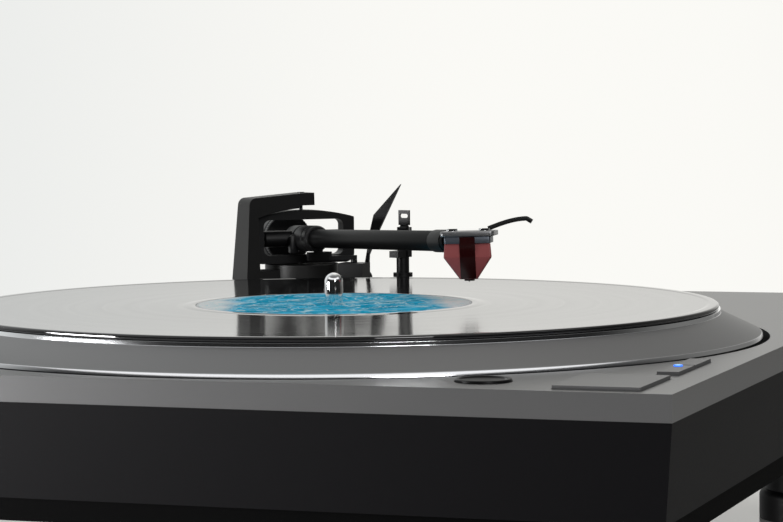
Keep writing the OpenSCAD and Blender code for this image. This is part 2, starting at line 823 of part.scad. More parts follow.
module arm_hub() {
    color([0.05, 0.05, 0.055]) arm_frame() difference() {
        union() {
            translate([-hub_back, 0, 0]) along_arm() cylinder(r = hub_r, h = hub_back + hub_front);
            translate([0, shaft_half, 0]) rotate([90, 0, 0]) cylinder(r = shaft_r, h = 2 * shaft_half);
            for (s = [-1, 1]) translate([lug_at, s * hub_r, 0]) {
                along_arm() cylinder(r = lug_r, h = lug_l);
                translate([0, -lug_r, -lug_down]) cube([lug_l, 2 * lug_r, lug_down]);
            }
            translate([-stub_len, 0, 0]) along_arm() cylinder(r = stub_r, h = stub_len);
        }
        for (s = [-1, 1]) translate([0, s * (shaft_half + 0.1), 0]) rotate([90 * s, 0, 0])
            cylinder(r = pin_r + run_fit, h = 2.5);
        translate([hub_front - 12, 0, 0]) along_arm() cylinder(r = tube_r, h = 20);
    }
}

module arm_tube() {
    color([0.04, 0.04, 0.045]) arm_frame() difference() {
        translate([hub_front - 12, 0, 0]) along_arm() cylinder(r = tube_r, h = tube_end - hub_front + 12);
        translate([hub_front - 13, 0, 0]) along_arm() cylinder(r = tube_r - 1, h = tube_end);
    }
}
tube_end = arm_len - 20;

module shell_plate() {
    translate([shell_front - shell_l, -shell_w / 2, shell_up]) cube([shell_l, shell_w, shell_t]);
}

module headshell() {
    color([0.33, 0.33, 0.34]) difference() {
        union() {
            shell_frame() shell_plate();
            arm_frame() translate([tube_end - 16, 0, 0]) along_arm() cylinder(r = tube_r + 0.4, h = 14);
        }
        arm_frame() translate([tube_end - 17, 0, 0]) along_arm() cylinder(r = tube_r, h = 17.1);
        shell_frame() for (s = [-1, 1]) translate([0, s * bolt_gap / 2, shell_up - 1])
            cylinder(r = 1.3, h = shell_t + 2);
    }
}

module finger_lift() {
    // arm of the lift: three overlapping bars that follow its arch
    out = [[9.3, 0.3], [13.2, 2.4], [18.6, 3.9], [24.2, 3.9]];
    color([0.05, 0.05, 0.05]) shell_frame() translate([-10, 0, shell_up + shell_t + 1])
        for (k = [0 : 2]) hull() {
            translate([0, out[k][0], out[k][1]]) rotate([0, 90, 0]) cylinder(r = 1, h = 5, $fn = 16);
            translate([0, out[k + 1][0], out[k + 1][1]]) rotate([0, 90, 0]) cylinder(r = 1, h = 5, $fn = 16);
        }
    color([0.05, 0.05, 0.05]) shell_frame() translate([-10, 5.5, shell_up + shell_t]) cube([5, 4.6, 1.4]);
}

module cartridge_mount() {
    color([0.3, 0.3, 0.32]) shell_frame() difference() {
        translate([-cart_l / 2 - 4, -cart_w / 2, cart_top_z]) cube([cart_l, cart_w, mount_t]);
        for (s = [-1, 1]) translate([0, s * bolt_gap / 2, cart_top_z - 1]) cylinder(r = 1.3, h = mount_t + 2);
    }
}

module cartridge_body() {
    low = cart_top_z - cart_h;
    color([0.45, 0.08, 0.1]) shell_frame() {
        hull() {
            translate([-cart_l / 2 - 4, -cart_w / 2 + 0.3, cart_top_z - 0.01])
                cube([cart_l - 0.8, cart_w - 0.6, 0.01]);
            translate([-cart_l / 2 - 4, -cart_w / 2 + 0.1, cart_top_z - 5.6])
                cube([cart_l, cart_w - 0.2, 0.01]);
            translate([-cart_l / 2 - 2, -3.9, low]) cube([cart_l - 6, 7.8, 0.01]);
        }
    }
}

module stylus() {
    low = cart_top_z - cart_h;
    color([0.2, 0.02, 0.03]) shell_frame() {
        translate([-3, 0, low - 0.75]) rotate([0, 80, 0]) cylinder(r = 0.25, h = 3.2, $fn = 16);
        translate([0, 0, low - 1.15]) cylinder(r1 = 0.08, r2 = 0.25, h = 0.6, $fn = 16);
    }
    color([0.35, 0.04, 0.05]) shell_frame() translate([-6, -2, low - 0.9]) cube([4, 4, 0.9]);
}

module cartridge_screws() {
    color([0.8, 0.8, 0.8]) shell_frame() for (s = [-1, 1]) translate([0, s * bolt_gap / 2, 0]) {
        translate([0, 0, cart_top_z]) cylinder(r = 1.3, h = mount_t + shell_t + 0.5);
        translate([0, 0, shell_up + shell_t]) cylinder(r = 2.2, h = 1);
    }
}

module counterweight() {
    back = weight_at + dial_len + 0.4 + weight_len;
    color([0.05, 0.05, 0.055]) arm_frame() translate([-back, 0, 0]) along_arm()
        tube_of(weight_r, stub_r + run_fit, weight_len);
}

module force_dial() {
    color([0.12, 0.12, 0.125]) arm_frame() translate([-weight_at - dial_len, 0, 0]) along_arm()
        tube_of(weight_r, stub_r + run_fit, dial_len);
}

// ---- cueing ----
module cue_housing() {
    color([0.06, 0.06, 0.065]) difference() {
        union() {
            translate([pivot_x - block_w / 2, pivot_y - rod_at - block_d / 2, plate_top])
                cube([block_w, block_d, block_top - plate_top]);
            translate([pivot_x + block_w / 2 - eps, hinge_y, hinge_z]) rotate([0, 90, 0])
                cylinder(r = hinge_r, h = 1.3 + lever_t + 0.9);
        }
        translate([pivot_x, pivot_y - rod_at, plate_top + 1]) cylinder(r = rod_r + run_fit, h = 40);
    }
}

module lift_platform() {
    color([0.07, 0.07, 0.075]) translate([pivot_x, pivot_y, 0]) {
        translate([0, 0, lift_low]) arc_slab(lift_in, lift_out, lift_from, lift_to, lift_top - lift_low);
        translate([0, 0, lift_low]) arm_slab();
        translate([0, -rod_at, plate_top + 3]) cylinder(r = rod_r, h = lift_low - plate_top - 3 + eps);
    }
}

// flat link from the arc's end to the rod
module arm_slab() {
    difference() {
        linear_extrude(height = 1.9) polygon([
            [lift_in * cos(lift_to), lift_in * sin(lift_to)],
            [lift_out * cos(lift_to - 8), lift_out * sin(lift_to - 8)],
            [-2.6, -rod_at], [2.6, -rod_at - 0.6], [2.6, -rod_at + 2]]);
        translate([0, 0, -1]) cylinder(r = lift_in, h = 5);
    }
}

module arc_slab(r0, r1, a0, a1, h) {
    rotate(a0) rotate_extrude(angle = a1 - a0) translate([r0, 0]) square([r1 - r0, h]);
}

module cue_lever() {
    // flat blade, drawn in the vertical plane through its hinge
    color([0.05, 0.05, 0.055]) translate([lever_x - lever_t / 2, hinge_y, hinge_z]) rotate([90, 0, 90])
        linear_extrude(height = lever_t) difference() {
            union() {
                circle(r = 3);
                polygon([[-1.4, 0], [1.4, 0], [-0.6, 10.3], [-2.7, 22.3], [-4.4, 28.9], [-17.7, 43.1],
                         [-7.3, 22.5], [-2, 10.3]]);
            }
            circle(r = hinge_r + run_fit);
        }
}

module anti_skate_dial() {
    color([0.05, 0.05, 0.055]) translate([anti_x, anti_y, plate_top + 0.3]) difference() {
        cylinder(r = anti_r, h = anti_h);
        translate([0, 0, anti_h - 1]) cylinder(r = anti_r - 2.5, h = 2);
        translate([0, 0, -1]) cylinder(r = 2 + run_fit, h = 5);
    }
}

module anti_skate_post() {
    color([0.6, 0.6, 0.6]) translate([anti_x, anti_y, plate_top - 3]) cylinder(r = 2, h = 6.6);
}

// ---- arm rest ----
module arm_rest() {
    color([0.05, 0.05, 0.055]) {
        at_pivot(rest_ang) translate([rest_at, 0, 0]) {
            translate([0, 0, plate_top]) cylinder(r = 2.9, h = shelf_top - plate_top - 3);
            translate([0, 0, record_top - 1.7]) cylinder(r = rest_r, h = 1.9);
            translate([0, 0, plate_top]) cylinder(r = 6, h = 2.5);
        }
        rest_cradle();
    }
}

// shelf under the parked tube, with an upright on its outer side
module rest_cradle() {
    side = 3.2;
    inner = -2.4;
    shelf_l = 4.8;
    shelf_t = 3;
    at_pivot(park_ang) difference() {
        union() {
            translate([rest_at - shelf_l / 2, inner, shelf_top - shelf_t])
                cube([shelf_l, clip_y - side / 2 - inner + eps, shelf_t]);
            translate([rest_at - clip_w / 2, clip_y - side / 2, shelf_top - shelf_t])
                cube([clip_w, side, clip_z + 0.9 - shelf_top + shelf_t]);
        }
        clip_axis() cylinder(r = 0.7, h = 20, center = true);
        translate([rest_at - 2.2, clip_y - side, clip_z - 1.9]) cube([4.4, 2 * side, 6]);
    }
}

module clip_axis() {
    translate([rest_at, clip_y, clip_z]) rotate([0, 90, 0]) children();
}

// knuckle on the hinge and a slotted tab above it
module rest_clip() {
    color([0.05, 0.05, 0.055]) at_pivot(park_ang) difference() {
        union() {
            translate([rest_at - clip_w / 2, clip_y - clip_t / 2, clip_z + 1.8])
                cube([clip_w, clip_t, clip_h - 1.8]);
            translate([rest_at - 2, clip_y - clip_t / 2, clip_z]) cube([4, clip_t, 3]);
            translate([-2, 0, 0]) clip_axis() cylinder(r = knuckle_r, h = 4);
        }
        translate([rest_at, clip_y + 3, clip_z + clip_h - 2.6]) rotate([90, 0, 0])
            linear_extrude(height = 6) soft_rect(4.4, 1.9, 0.9);
        clip_axis() cylinder(r = 0.7 + run_fit, h = 20, center = true);
    }
}

module clip_pin() {
    color([0.7, 0.7, 0.7]) at_pivot(park_ang) clip_axis() cylinder(r = 0.7, h = clip_w, center = true);
}

plinth_body();
top_plate();
base_board();
base_screws();
foot_stems();
foot_pads();
foot_screws();
bearing_housing();
bearing_screws();
thrust_pad();
stator_core();
stator_coils();
motor_board();
main_board();
power_board();
board_screws();
rear_panel();
rca_sockets();
ground_terminal();
dc_inlet();
phono_switch();
spindle();
platter();
rotor_cup();
rotor_magnet();
platter_mat();
record();
record_label();
start_button();
speed_button_33();
speed_button_45();
speed_light();
power_dial();
key_switches();
key_board();
tonearm_base();
base_plate_screws();
bearing_frame();
upper_pivot_screw();
lower_pivot_screw();
gimbal_ring();
ring_pivot_screws();
arm_hub();
arm_tube();
headshell();
finger_lift();
cartridge_mount();
cartridge_body();
stylus();
cartridge_screws();
counterweight();
force_dial();
cue_housing();
lift_platform();
cue_lever();
anti_skate_dial();
anti_skate_post();
arm_rest();
rest_clip();
clip_pin();
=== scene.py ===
import json
import math
import bpy
import numpy as np
from mathutils import Matrix, Vector


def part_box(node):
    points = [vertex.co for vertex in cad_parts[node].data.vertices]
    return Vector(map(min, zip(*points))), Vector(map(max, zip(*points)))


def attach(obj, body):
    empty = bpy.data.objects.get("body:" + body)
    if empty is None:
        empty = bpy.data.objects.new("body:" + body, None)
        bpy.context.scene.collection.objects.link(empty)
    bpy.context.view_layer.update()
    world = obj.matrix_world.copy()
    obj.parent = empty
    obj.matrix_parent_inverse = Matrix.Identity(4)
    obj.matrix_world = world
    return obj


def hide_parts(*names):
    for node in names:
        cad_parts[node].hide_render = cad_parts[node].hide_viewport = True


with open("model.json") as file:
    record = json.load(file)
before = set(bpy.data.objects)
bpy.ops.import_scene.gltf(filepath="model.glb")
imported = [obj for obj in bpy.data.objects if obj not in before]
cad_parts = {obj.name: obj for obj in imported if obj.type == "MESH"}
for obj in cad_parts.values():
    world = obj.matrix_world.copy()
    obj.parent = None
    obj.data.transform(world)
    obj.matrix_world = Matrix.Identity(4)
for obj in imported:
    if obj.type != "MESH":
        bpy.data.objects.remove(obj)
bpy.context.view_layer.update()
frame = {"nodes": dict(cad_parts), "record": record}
scene = bpy.context.scene
mm = 0.001

# ---- camera ----
cameraSet = {
    "place": (-1.10411, -0.39697, 0.19332),
    "forward": (0.936166, 0.348227, -0.048289),
    "up": (0.048828, 0.007236, 0.998781),
    "lens": 132.41,
    "shiftX": 0.0613,
    "shiftY": -0.0511,
}
forward = Vector(cameraSet["forward"]).normalized()
upward = Vector(cameraSet["up"]).normalized()
rightward = forward.cross(upward).normalized()
upward = rightward.cross(forward)
lensData = bpy.data.cameras.new("camera")
lensData.lens = cameraSet["lens"]
lensData.sensor_width = 36.0
lensData.shift_x = cameraSet["shiftX"]
lensData.shift_y = cameraSet["shiftY"]
lensData.clip_end = 50.0
camera = bpy.data.objects.new("camera", lensData)
turn = Matrix((rightward, upward, -forward)).transposed()
camera.matrix_world = Matrix.Translation(Vector(cameraSet["place"])) @ turn.to_4x4()
scene.collection.objects.link(camera)
scene.camera = camera
scene.view_settings.view_transform = "Standard"
print("camera placed")


# ---- shader arithmetic ----
class Wire:
    # One output socket of a node tree; the operators add Math nodes behind it.
    def __init__(self, tree, socket):
        self.tree = tree
        self.socket = socket

    def node(self, kind, settings=None, inputs=None, out=0):
        made = self.tree.nodes.new(kind)
        for key, value in (settings or {}).items():
            setattr(made, key, value)
        for key, value in (inputs or {}).items():
            target = made.inputs[key]
            if isinstance(value, Wire):
                self.tree.links.new(value.socket, target)
            else:
                target.default_value = value
        return Wire(self.tree, made.outputs[out])

    def maths(self, kind, *values, clamp=False):
        settings = {"operation": kind, "use_clamp": clamp}
        return self.node("ShaderNodeMath", settings, dict(enumerate(values)))

    def __add__(self, other):
        return self.maths("ADD", self, other)

    def __radd__(self, other):
        return self.maths("ADD", other, self)

    def __sub__(self, other):
        return self.maths("SUBTRACT", self, other)

    def __rsub__(self, other):
        return self.maths("SUBTRACT", other, self)

    def __mul__(self, other):
        return self.maths("MULTIPLY", self, other)

    def __rmul__(self, other):
        return self.maths("MULTIPLY", other, self)

    def __truediv__(self, other):
        return self.maths("DIVIDE", self, other)

    def __rtruediv__(self, other):
        return self.maths("DIVIDE", other, self)

    def __pow__(self, other):
        return self.maths("POWER", self, other)

    def low(self, other):
        return self.maths("MINIMUM", self, other)

    def high(self, other):
        return self.maths("MAXIMUM", self, other)

    def size(self):
        return self.maths("ABSOLUTE", self)

    # 0 below the first value, 1 above the second, smooth between
    def ramp(self, start, end):
        inputs = {"Value": self, "From Min": start, "From Max": end, "To Min": 0.0, "To Max": 1.0}
        return self.node("ShaderNodeMapRange", {"interpolation_type": "SMOOTHSTEP"}, inputs)

    def parts(self):
        made = self.tree.nodes.new("ShaderNodeSeparateXYZ")
        self.tree.links.new(self.socket, made.inputs[0])
        return [Wire(self.tree, made.outputs[k]) for k in range(3)]

    def vector(self, x, y, z):
        return self.node("ShaderNodeCombineXYZ", None, {0: x, 1: y, 2: z})

    def vectorMaths(self, kind, other, out=0):
        return self.node("ShaderNodeVectorMath", {"operation": kind}, {0: self, 1: other}, out)

    def blend(self, first, second):
        settings = {"data_type": "RGBA", "clamp_factor": True}
        return self.node("ShaderNodeMix", settings, {0: self, 6: first, 7: second}, 2)

    def noise(self, scale, detail=3.0, rough=0.5, distortion=0.0, dims="3D"):
        inputs = {"Scale": scale, "Detail": detail, "Roughness": rough, "Distortion": distortion}
        inputs["W" if dims == "1D" else "Vector"] = self
        return self.node("ShaderNodeTexNoise", {"noise_dimensions": dims}, inputs)


class Paint:
    # A Principled material whose sockets are set by name.
    def __init__(self, name, **values):
        self.material = bpy.data.materials.new(name)
        self.material.use_nodes = True
        self.tree = self.material.node_tree
        self.shader = self.tree.nodes["Principled BSDF"]
        self.put(**values)
        coords = self.tree.nodes.new("ShaderNodeTexCoord")
        self.place = Wire(self.tree, coords.outputs["Object"])

    def put(self, **values):
        for key, value in values.items():
            target = self.shader.inputs[key.replace("_", " ")]
            if isinstance(value, Wire):
                self.tree.links.new(value.socket, target)
            else:
                target.default_value = value
        return self

    def bump(self, height, strength, depth):
        inputs = {"Height": height, "Strength": strength, "Distance": depth}
        self.put(Normal=self.place.node("ShaderNodeBump", None, inputs))
        return self


def rgba(color):
    return (color[0], color[1], color[2], 1.0)


# A painted, moulded or machined surface: slow tone drift, fine grain in roughness and in bump.
def surface(name, color, rough, metal=0.0, grain=0.35, tone=0.08, bump=0.1, depth=0.02, **rest):
    paint = Paint(name, Metallic=metal, **rest)
    slow = paint.place.noise(14.0, 2.0)
    fine = paint.place.noise(1.0 / (grain * mm), 3.0, 0.6)
    dark = tuple(c * (1.0 - tone) for c in color)
    light = tuple(c * (1.0 + tone) for c in color)
    mixed = (slow * 0.7 + fine * 0.3).blend(rgba(dark), rgba(light))
    paint.put(Base_Color=mixed, Roughness=rough * (0.88 + 0.24 * fine))
    paint.bump(fine, bump, depth * mm)
    return paint


# A turned surface: very fine rings about an upright axis, from noise that depends on radius only.
def turned(name, color, rough, axis, metal=1.0, pitch=0.25, bump=0.1, depth=0.005):
    paint = Paint(name, Metallic=metal)
    x, y, z = paint.place.parts()
    radius = ((x - axis[0]) ** 2.0 + (y - axis[1]) ** 2.0) ** 0.5
    rings = (radius + z).noise(1.0 / (pitch * mm), 2.0, 0.7, dims="1D")
    slow = paint.place.noise(9.0, 2.0)
    dark = tuple(c * 0.93 for c in color)
    paint.put(Base_Color=slow.blend(rgba(dark), rgba(color)), Roughness=rough * (0.8 + 0.4 * rings))
    paint.bump(rings, bump, depth * mm)
    return paint, radius, z


# ---- mesh helpers ----
def makeObject(name, points, faces, paint, body, slot, sharp=30.0, hides=()):
    mesh = bpy.data.meshes.new(name)
    mesh.from_pydata([tuple(p) for p in np.asarray(points, float) * mm], [], faces)
    mesh.validate()
    mesh.polygons.foreach_set("use_smooth", np.ones(len(mesh.polygons), bool))
    mesh.set_sharp_from_angle(angle=math.radians(sharp))
    piece = bpy.data.objects.new(name, mesh)
    scene.collection.objects.link(piece)
    mesh.materials.append(paint.material)
    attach(piece, body)
    if hides:
        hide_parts(*hides)
    return piece


# Faces of a grid of rings: each ring's points run round, each ring joins the next.
def gridFaces(rings, around, closedRings=False, capStart=False, capEnd=False):
    last = rings if closedRings else rings - 1
    i, j = np.meshgrid(np.arange(last), np.arange(around), indexing="ij")
    a = i * around + j
    b = i * around + (j + 1) % around
    c = ((i + 1) % rings) * around + (j + 1) % around
    d = ((i + 1) % rings) * around + j
    faces = np.stack([a, b, c, d], -1).reshape(-1, 4).tolist()
    if capStart:
        faces.append(list(range(around))[::-1])
    if capEnd:
        faces.append(list(range((rings - 1) * around, rings * around)))
    return faces


# A profile of (radius, height) points turned about Z; corners are rounded by a small radius.
def lathe(profile, around=96, soft=0.0, closed=False):
    path = np.array(roundPath(profile, soft, closed), float)
    angle = np.linspace(0.0, 2.0 * math.pi, around, endpoint=False)
    ring = np.stack([np.cos(angle), np.sin(angle)], -1)
    xy = path[:, None, 0:1] * ring[None]
    z = np.broadcast_to(path[:, None, 1:2], xy.shape[:2] + (1,))
    points = np.concatenate([xy, z], -1).reshape(-1, 3)
    caps = not closed
    return points, gridFaces(len(path), around, closed, caps, caps)


# Each inner corner of a path becomes four points on a curve from one side to the next.
def roundPath(path, soft, closed=False):
    if soft <= 0.0:
        return list(path)
    out = []
    count = len(path)
    for k in range(count):
        here = np.array(path[k], float)
        if not closed and k in (0, count - 1):
            out.append(here)
            continue
        back = np.array(path[k - 1], float) - here
        ahead = np.array(path[(k + 1) % count], float) - here
        reach = min(soft, 0.45 * np.linalg.norm(back), 0.45 * np.linalg.norm(ahead))
        start = here + back / np.linalg.norm(back) * reach
        end = here + ahead / np.linalg.norm(ahead) * reach
        for t in (0.0, 0.33, 0.67, 1.0):
            out.append((1 - t) ** 2 * start + 2 * t * (1 - t) * here + t * t * end)
    return out


# An outline in the plane, thickened upwards, with softened upper and lower edges.
def slab(outline, low, high, edge):
    outline = np.array(outline, float)
    centre = outline.mean(0)
    steps = [(1.0, low), (0.3, low + edge * 0.3), (0.0, low + edge)]
    steps += [(0.0, high - edge), (0.3, high - edge * 0.3), (1.0, high)]
    ahead = np.roll(outline, -1, 0) - outline
    behind = outline - np.roll(outline, 1, 0)
    ahead = ahead / np.linalg.norm(ahead, axis=1, keepdims=True)
    behind = behind / np.linalg.norm(behind, axis=1, keepdims=True)
    normal = np.stack([ahead[:, 1] + behind[:, 1], -(ahead[:, 0] + behind[:, 0])], -1)
    normal = normal / np.linalg.norm(normal, axis=1, keepdims=True)
    flip = np.sign(((outline - centre) * normal).sum())
    rings = []
    for inset, z in steps:
        flat = outline - normal * flip * inset * edge
        rings.append(np.concatenate([flat, np.full((len(flat), 1), z)], 1))
    return np.concatenate(rings), gridFaces(len(rings), len(outline), False, True, True)


# Rectangle with quarter-circle corners, as points that run round it.
def softRectangle(x0, y0, x1, y1, radius, steps=6):
    turn = np.linspace(0.0, math.pi / 2, steps)
    out = []
    corners = [(x1, y1, 0), (x0, y1, 1), (x0, y0, 2), (x1, y0, 3)]
    for cx, cy, quarter in corners:
        px = cx - radius * (1 if cx == x1 else -1)
        py = cy - radius * (1 if cy == y1 else -1)
        angle = turn + quarter * math.pi / 2
        out += list(zip(px + radius * np.cos(angle), py + radius * np.sin(angle)))
    return out


# A section swept along a path: at each point the section stands across the path's direction.
def sweep(path, section, widths=None, up=(0.0, 0.0, 1.0)):
    path = np.array(path, float)
    section = np.array(section, float)
    ahead = np.gradient(path, axis=0)
    ahead = ahead / np.linalg.norm(ahead, axis=1, keepdims=True)
    side = np.cross(ahead, np.array(up))
    side = side / np.linalg.norm(side, axis=1, keepdims=True)
    top = np.cross(side, ahead)
    scale = np.ones(len(path)) if widths is None else np.array(widths, float)
    across = section[None, :, 0:1] * scale[:, None, None]
    points = path[:, None] + side[:, None] * across + top[:, None] * section[None, :, 1:2]
    return points.reshape(-1, 3), gridFaces(len(path), len(section), False, True, True)


def join(*shapes):
    points = []
    faces = []
    total = 0
    for shapePoints, shapeFaces in shapes:
        points.append(np.asarray(shapePoints, float))
        faces += [[v + total for v in face] for face in shapeFaces]
        total += len(shapePoints)
    return np.concatenate(points), faces


def placed(shape, matrix):
    points, faces = shape
    points = np.asarray(points, float)
    return points @ np.array(matrix)[:3, :3].T + np.array(matrix)[:3, 3], faces


def turnAbout(axis, degrees):
    return Matrix.Rotation(math.radians(degrees), 4, axis)


def moved(x, y, z):
    return Matrix.Translation(Vector((x, y, z)))


# ---- places, in millimetres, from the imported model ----
def nodeBox(name):
    low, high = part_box(name)
    return np.array(low) / mm, np.array(high) / mm


joints = {j["name"]: j for j in frame["record"]["behaviour"]["joints"]}
spindleX, spindleY, recordTop = (v / mm for v in joints["platter_spin"]["pos_m"])
pivotX, pivotY, pivotZ = (v / mm for v in joints["arm_swing"]["pos_m"])
armAxis = np.array(joints["force_dial_turn"]["axis"])
armLift = math.degrees(math.asin(armAxis[2]))
armDirection = math.degrees(math.atan2(armAxis[1], armAxis[0]))
plateTop = nodeBox("top_plate")[1][2]
lipZ = plateTop
rimZ = nodeBox("platter")[1][2]
spindleAxis = (spindleX * mm, spindleY * mm)
atSpindle = moved(spindleX, spindleY, 0.0)
armFrame = moved(pivotX, pivotY, pivotZ) @ turnAbout("Z", armDirection) @ turnAbout("Y", -armLift)
# Headshell: its origin is the stylus, armReach from the pivot, and it is turned in by shellOffset degrees.
armReach = 221.5
shellOffset = 24.0
shellFrame = armFrame @ moved(armReach, 0.0, 0.0) @ turnAbout("Z", -shellOffset)
alongArm = armFrame @ turnAbout("Y", 90.0)
print("places read")

# ---- materials ----
plateGrey = surface("plateGrey", (0.142, 0.142, 0.144), 0.34, 0.5, 0.22, 0.05, 0.12, 0.012)
bodyBlack = surface("bodyBlack", (0.0016, 0.0014, 0.0022), 0.55, 0.0, 0.5, 0.08, 0.18, 0.03,
                    Specular_IOR_Level=0.11)
baseBlack = surface("baseBlack", (0.0008, 0.0008, 0.0009), 0.7, 0.0, 0.6, 0.1, 0.2, 0.03,
                    Specular_IOR_Level=0.04)
footBlack = surface("footBlack", (0.0015, 0.0015, 0.0017), 0.5, 0.0, 0.4, 0.1, 0.15, 0.03,
                    Specular_IOR_Level=0.1)
steelGrey = surface("steelGrey", (0.6, 0.6, 0.61), 0.28, 1.0, 0.3, 0.05, 0.05, 0.01)
darkSteel = surface("darkSteel", (0.11, 0.11, 0.115), 0.34, 0.9, 0.3, 0.08, 0.06, 0.01)
bronze = surface("bronze", (0.5, 0.34, 0.14), 0.36, 1.0, 0.3, 0.1, 0.1, 0.01)
gold = surface("gold", (0.9, 0.62, 0.22), 0.2, 1.0, 0.3, 0.04, 0.03, 0.01)
boardGreen = surface("boardGreen", (0.01, 0.09, 0.035), 0.3, 0.0, 0.8, 0.12, 0.1, 0.02)
copper = surface("copper", (0.75, 0.28, 0.12), 0.35, 1.0, 0.25, 0.12, 0.3, 0.05)
coreSteel = surface("coreSteel", (0.3, 0.3, 0.32), 0.4, 1.0, 0.4, 0.08, 0.2, 0.03)
magnetGrey = surface("magnetGrey", (0.05, 0.05, 0.055), 0.5, 0.4, 0.4, 0.1, 0.15, 0.02)
whitePlastic = surface("whitePlastic", (0.6, 0.6, 0.58), 0.4, 0.0, 0.4, 0.03, 0.08, 0.01)
panelBlack = surface("panelBlack", (0.014, 0.014, 0.014), 0.42, 0.0, 0.4, 0.08, 0.2, 0.03)
rubberBlack = surface("rubberBlack", (0.012, 0.012, 0.012), 0.62, 0.0, 0.5, 0.1, 0.25, 0.04)
armBlack = surface("armBlack", (0.007, 0.007, 0.0075), 0.4, 0.0, 0.3, 0.06, 0.12, 0.012,
                   Specular_IOR_Level=0.3)
frameBlack = surface("frameBlack", (0.015, 0.0148, 0.0145), 0.46, 0.0, 0.3, 0.05, 0.14, 0.014,
                     Specular_IOR_Level=0.35)
tubeBlack = surface("tubeBlack", (0.004, 0.004, 0.0043), 0.42, 0.0, 0.25, 0.05, 0.05, 0.006,
                    Specular_IOR_Level=0.12)
keyGrey = surface("keyGrey", (0.16, 0.16, 0.162), 0.42, 0.35, 0.2, 0.05, 0.1, 0.012)
dialBlack = surface("dialBlack", (0.003, 0.003, 0.0033), 0.36, 0.0, 0.25, 0.08, 0.1, 0.01,
                    Specular_IOR_Level=0.3)
shellGrey = surface("shellGrey", (0.24, 0.24, 0.245), 0.36, 0.8, 0.2, 0.06, 0.08, 0.008)
mountGrey = surface("mountGrey", (0.12, 0.135, 0.16), 0.4, 0.6, 0.25, 0.08, 0.08, 0.01)
stripeRed = surface("stripeRed", (0.024, 0.002, 0.002), 0.2, 0.0, 0.3, 0.1, 0.02, 0.004)
cartRed = surface("cartRed", (0.36, 0.09, 0.09), 0.3, 0.0, 0.3, 0.1, 0.02, 0.004, Specular_IOR_Level=0.35)
chrome = turned("chrome", (0.93, 0.94, 0.95), 0.06, spindleAxis, 1.0, 0.4, 0.02, 0.001)[0]

# Platter: satin cone, with the upright bands at rim and lip polished by height.
satin = (0.205, 0.205, 0.208)
platterPaint, platterHeight = turned("platterSatin", satin, 0.40, spindleAxis, 0.75, 0.5, 0.08, 0.004)[::2]
lipBand = 1.0 - platterHeight.ramp((lipZ + 1.45) * mm, (lipZ + 1.65) * mm)
rimBand = platterHeight.ramp((rimZ - 1.65) * mm, (rimZ - 1.45) * mm)
polish = (lipBand + rimBand).low(1.0)
platterGrain = platterPaint.place.noise(3200.0, 2.0)
platterPaint.put(
    Roughness=(1.0 - polish) * (0.38 + 0.08 * platterGrain) + polish * 0.12,
    Base_Color=polish.blend(rgba(satin), rgba((0.86, 0.87, 0.89))),
    Metallic=0.75 + 0.25 * polish)

# Record: rings whose height depends on radius only, bunched into tracks with smooth gaps.
vinylSet = {"fine": 0.9, "wide": 6.0, "gap": 14.5, "depth": 0.0016}
vinyl = Paint("vinyl", Specular_IOR_Level=0.5, IOR=1.62)
vx, vy = vinyl.place.parts()[:2]
vinylRadius = ((vx - spindleAxis[0]) ** 2.0 + (vy - spindleAxis[1]) ** 2.0) ** 0.5
fineRings = vinylRadius.noise(1.0 / (vinylSet["fine"] * mm), 2.0, 0.6, dims="1D")
wideRings = vinylRadius.noise(1.0 / (vinylSet["wide"] * mm), 2.0, 0.6, dims="1D")
trackTurn = vinylRadius * (2.0 * math.pi / (vinylSet["gap"] * mm))
trackWave = trackTurn.maths("SINE", trackTurn)
gapMask = trackWave.ramp(0.985, 0.998)
grooved = vinylRadius.ramp(0.060, 0.0615) * (1.0 - vinylRadius.ramp(0.1455, 0.1465)) * (1.0 - gapMask)
vinyl.put(
    Base_Color=fineRings.blend(rgba((0.006, 0.006, 0.0065)), rgba((0.014, 0.014, 0.015))),
    Roughness=0.035 + grooved * (0.035 + 0.05 * wideRings))
vinyl.bump(grooved * (fineRings * 0.5 + wideRings * 2.2), 1.0, vinylSet["depth"] * mm)

# Label: folds of blue and white paint, from noise pulled along turned coordinates, with a painted reflection
# and a painted highlight laid over them.
label = Paint("labelPrint", Roughness=0.8, Specular_IOR_Level=0.0)
lx, ly = label.place.parts()[:2]
labelX = (lx - spindleAxis[0]) * 1000.0
labelY = (ly - spindleAxis[1]) * 1000.0
labelRadius = (labelX ** 2.0 + labelY ** 2.0) ** 0.5
labelPlace = label.place.vector(labelX * 0.022, labelY * 0.022, 0.0)
bend = labelPlace.noise(1.4, 3.0, 0.5)
folded = label.place.vector(labelX * 0.022 + bend * 1.7, labelY * 0.022 - bend * 1.2, bend * 2.0)
swirl = folded.noise(2.1, 5.0, 0.62, 1.2)
veins = (swirl - 0.5).size().ramp(0.0, 0.03)
depthTone = folded.noise(4.5, 3.0, 0.55, 0.6).ramp(0.32, 0.66)
blues = depthTone.blend(rgba((0.0, 0.30, 0.52)), rgba((0.06, 0.56, 0.86)))
foam = folded.noise(1.7, 3.0, 0.5, 1.2).ramp(0.6, 0.74)
# Painted reflection: two opposite edges are washed out to white, along the line that runs across the view,
# where the glossy label would mirror the bright backdrop.
reflectionAcross = (labelX * rightward.x + labelY * rightward.y + (bend - 0.5) * 30.0).size()
painted = foam.blend(blues, rgba((0.60, 0.86, 0.92)))
painted = reflectionAcross.ramp(34.0, 46.0).blend(painted, rgba((0.93, 0.96, 0.97)))
painted = veins.blend(rgba((0.62, 0.86, 0.92)), painted)
# Painted highlight: a pale ring all round the label's outer edge, standing in for the glint on the bead
# there.
rimHighlight = labelRadius.ramp(53.2, 53.6)
painted = rimHighlight.blend(painted, rgba((0.8, 0.83, 0.84)))
pressed = 1.0 - (labelRadius - 16.5).size().ramp(0.15, 0.5)
label.put(Base_Color=painted)
label.bump(labelPlace.noise(60.0, 3.0) * 0.2 - pressed, 0.6, 0.12 * mm)

